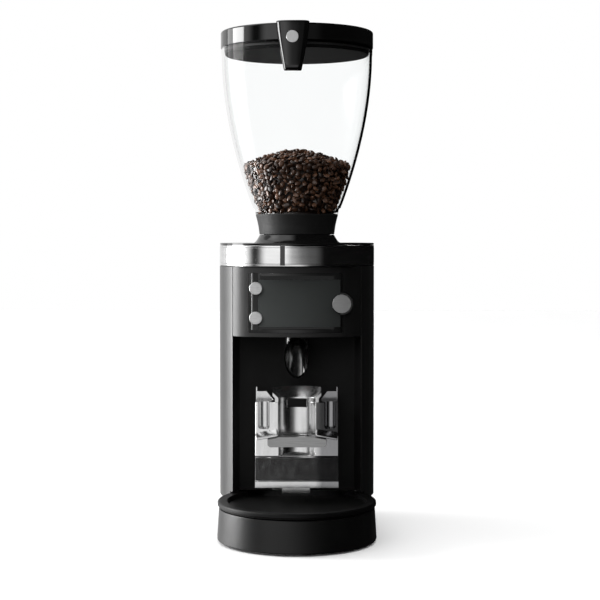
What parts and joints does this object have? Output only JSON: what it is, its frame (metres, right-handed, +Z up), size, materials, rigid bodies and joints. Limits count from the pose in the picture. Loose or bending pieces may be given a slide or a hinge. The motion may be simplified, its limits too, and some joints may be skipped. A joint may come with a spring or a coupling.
{
  "type": "burr coffee grinder",
  "caption": "Upright burr coffee grinder with a clear bean hopper, an adjusting ring, a display head, a spout over a portafilter holder, and a round base with a grounds tray.",
  "frame": {"origin": "On the floor, under the middle of the footprint.", "axes": "+Z up, front is -Y, +X is to the right seen from the front."},
  "size_m": [0.2194, 0.3304, 0.702],
  "materials": {
    "cast_black": "satin",
    "zinc_steel": "satin",
    "rubber": "matte",
    "tray_black": "matte",
    "panel_black": "gloss",
    "satin_black": "satin",
    "head_black": "satin",
    "gloss_black": "gloss",
    "satin_silver": "satin",
    "display_glass": "gloss",
    "circuit_board": "satin",
    "brushed_buttons": "brushed",
    "cast_aluminium": "cast",
    "motor_steel": "satin",
    "copper": "lacquered",
    "bearing_steel": "polished",
    "flap_rubber": "matte",
    "burr_steel": "ground",
    "chrome": "polished",
    "collar_black": "matte",
    "gate_steel": "brushed",
    "clear_hopper": "clear",
    "beans": "satin",
    "liner_black": "gloss",
    "polished_steel": "polished",
    "brushed_fork": "brushed",
    "entry_black": "matte",
    "switch_black": "gloss"
  },
  "bodies": {
    "housing": {"base_casting": "cast_black", "base_plate": "zinc_steel", "rubber_feet": "rubber", "base_screws": "zinc_steel", "side_panel_left": "panel_black", "side_panel_right": "panel_black", "rear_cover": "panel_black", "front_panel": "satin_black", "head_cover": "head_black", "display_bezel": "gloss_black", "bezel_rail": "satin_silver", "display_glass": "display_glass", "display_board": "circuit_board", "head_plate": "cast_aluminium", "column_posts": "zinc_steel", "motor_can": "motor_steel", "motor_stator": "motor_steel", "motor_windings": "copper", "motor_end_shields": "cast_aluminium", "motor_bearings": "bearing_steel", "grinding_chamber": "cast_aluminium", "burr_housing": "cast_aluminium", "exit_chute": "satin_black", "clump_flap": "flap_rubber", "top_plate": "gloss_black", "neck_flange": "gloss_black", "spout": "chrome", "holder_rail": "zinc_steel", "control_board": "circuit_board", "mains_entry": "entry_black"},
    "hopper": {"hopper_collar": "collar_black", "hopper_shell": "clear_hopper", "coffee_beans": "beans"},
    "gate": {"hopper_gate": "gate_steel"},
    "lid": {"hopper_lid": "gloss_black", "lid_liner": "liner_black", "lid_seal": "rubber", "lid_tab": "gloss_black", "lid_badge": "satin_silver"},
    "ring": {"adjusting_ring": "chrome"},
    "carrier": {"upper_burr_carrier": "cast_aluminium", "upper_burr": "burr_steel"},
    "rotor": {"drive_shaft": "bearing_steel", "motor_rotor": "motor_steel", "cooling_fan": "satin_black", "lower_burr_carrier": "cast_aluminium", "lower_burr": "burr_steel", "shaft_nut": "bearing_steel"},
    "tray": {"drip_tray": "tray_black"},
    "holder": {"holder_bracket": "polished_steel", "holder_cradle": "polished_steel", "fork_bar": "brushed_fork", "holder_apron": "polished_steel"},
    "start": {"start_button": "satin_black"},
    "clamp": {"thumbscrew": "chrome"},
    "upper_key": {"button_upper": "brushed_buttons"},
    "lower_key": {"button_lower": "brushed_buttons"},
    "side_key": {"button_side": "brushed_buttons"},
    "rocker": {"power_switch": "switch_black"}
  },
  "joints": [
    {"name": "lift_hopper", "type": "slide", "parent": "housing", "child": "hopper", "axis": [0, 0, 1], "range_m": [0, 0.06]},
    {"name": "lift_lid", "type": "slide", "parent": "hopper", "child": "lid", "axis": [0, 0, 1], "range_m": [0, 0.06]},
    {"name": "pull_gate", "type": "slide", "parent": "hopper", "child": "gate", "axis": [0, 1, 0], "range_m": [0, 0.088]},
    {"name": "turn_ring", "type": "hinge", "parent": "housing", "child": "ring", "pos_m": [0, 0.0555, 0.385], "axis": [0, 0, 1], "range_deg": [-40, 40]},
    {"name": "carrier_thread", "type": "slide", "parent": "ring", "child": "carrier", "axis": [0, 0, 1], "range_m": [-0.00024, 0.00024]},
    {"name": "spin_burrs", "type": "hinge", "parent": "housing", "child": "rotor", "pos_m": [0, 0.0555, 0.2], "axis": [0, 0, 1], "continuous": true},
    {"name": "pull_tray", "type": "slide", "parent": "housing", "child": "tray", "axis": [0, -1, 0], "range_m": [0, 0.23]},
    {"name": "holder_height", "type": "slide", "parent": "housing", "child": "holder", "axis": [0, 0, 1], "range_m": [-0.004, 0.006]},
    {"name": "press_start", "type": "slide", "parent": "holder", "child": "start", "axis": [0, 1, 0], "range_m": [0, 0.002], "stiffness_N_per_m": 800},
    {"name": "turn_thumbscrew", "type": "hinge", "parent": "holder", "child": "clamp", "pos_m": [-0.027, -0.02, 0.0664], "axis": [0, 1, 0], "range_deg": [-180, 180]},
    {"name": "press_upper", "type": "slide", "parent": "housing", "child": "upper_key", "axis": [0, 1, 0], "range_m": [0, 0.001], "stiffness_N_per_m": 1000},
    {"name": "press_lower", "type": "slide", "parent": "housing", "child": "lower_key", "axis": [0, 1, 0], "range_m": [0, 0.001], "stiffness_N_per_m": 1000},
    {"name": "press_side", "type": "slide", "parent": "housing", "child": "side_key", "axis": [0, 1, 0], "range_m": [0, 0.001], "stiffness_N_per_m": 1000},
    {"name": "rock_switch", "type": "hinge", "parent": "housing", "child": "rocker", "pos_m": [0.028, 0.15, 0.024], "axis": [1, 0, 0], "range_deg": [0, 16]}
  ],
  "couplings": [
    {"joint": "carrier_thread", "follows": "turn_ring", "m_per_rad": 0.0003183}
  ]
}
